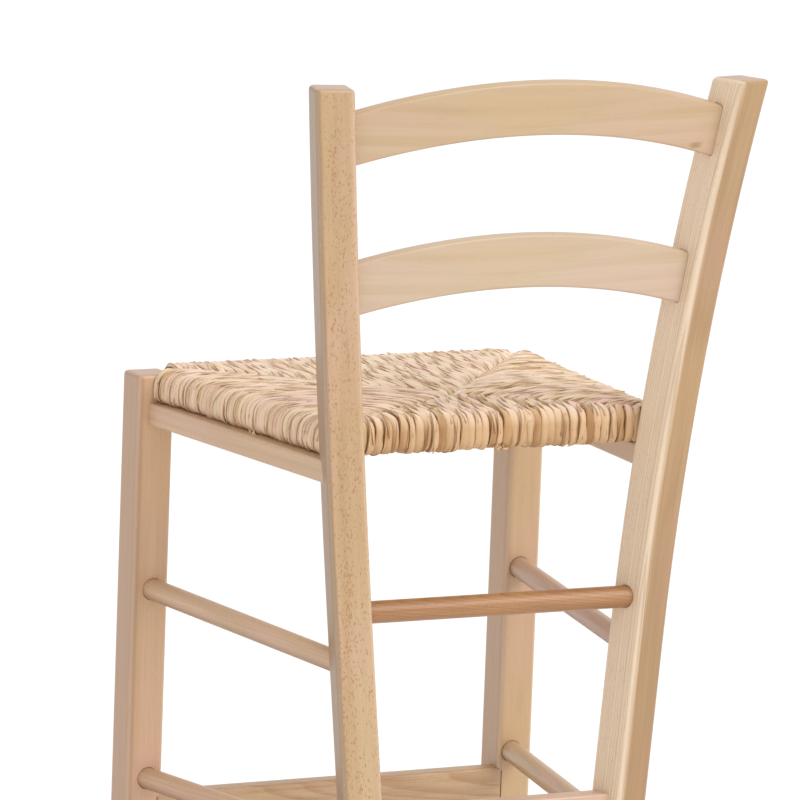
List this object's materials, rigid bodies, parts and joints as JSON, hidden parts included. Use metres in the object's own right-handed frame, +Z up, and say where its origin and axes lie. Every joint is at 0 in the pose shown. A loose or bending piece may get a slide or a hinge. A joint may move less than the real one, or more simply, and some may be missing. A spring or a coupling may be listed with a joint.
{
  "type": "counter-height ladder-back chair",
  "caption": "Counter-height ladder-back chair in pale beech, with curved back slats, round side rungs, a flat footboard and a woven rush seat on a loose frame.",
  "frame": {"origin": "on the floor, at the middle of the chair's box in X and Y", "axes": "+Z up, -Y towards the front of the seat, +X towards the sitter's left"},
  "size_m": [0.4436, 0.414, 0.9522],
  "materials": {
    "beech": "pale natural beech under a thin satin lacquer, fine dark flecks, rounded edges",
    "frame_wood": "plain sawn softwood, unfinished, wrapped in rush",
    "stuffing": "packed dry rush between the woven faces",
    "rush": "twisted natural rush, straw coloured with golden, olive and pinkish strands, matt",
    "zinc_steel": "zinc-plated steel screws"
  },
  "bodies": {
    "root": {"front_leg_left": "beech", "front_leg_right": "beech", "back_post_left": "beech", "back_post_right": "beech", "top_slat": "beech", "lower_slat": "beech", "side_seat_rail_left": "beech", "side_seat_rail_right": "beech", "front_seat_rail": "beech", "upper_side_rung_left": "beech", "upper_side_rung_right": "beech", "lower_side_rung_left": "beech", "lower_side_rung_right": "beech", "back_rung": "beech", "back_lower_rail": "beech", "footboard": "beech", "seat_frame_front": "frame_wood", "seat_frame_back": "frame_wood", "seat_frame_left": "frame_wood", "seat_frame_right": "frame_wood", "seat_stuffing": "stuffing", "rush_front": "rush", "rush_back": "rush", "rush_left": "rush", "rush_right": "rush", "seat_screws": "zinc_steel"}
  },
  "joints": []
}
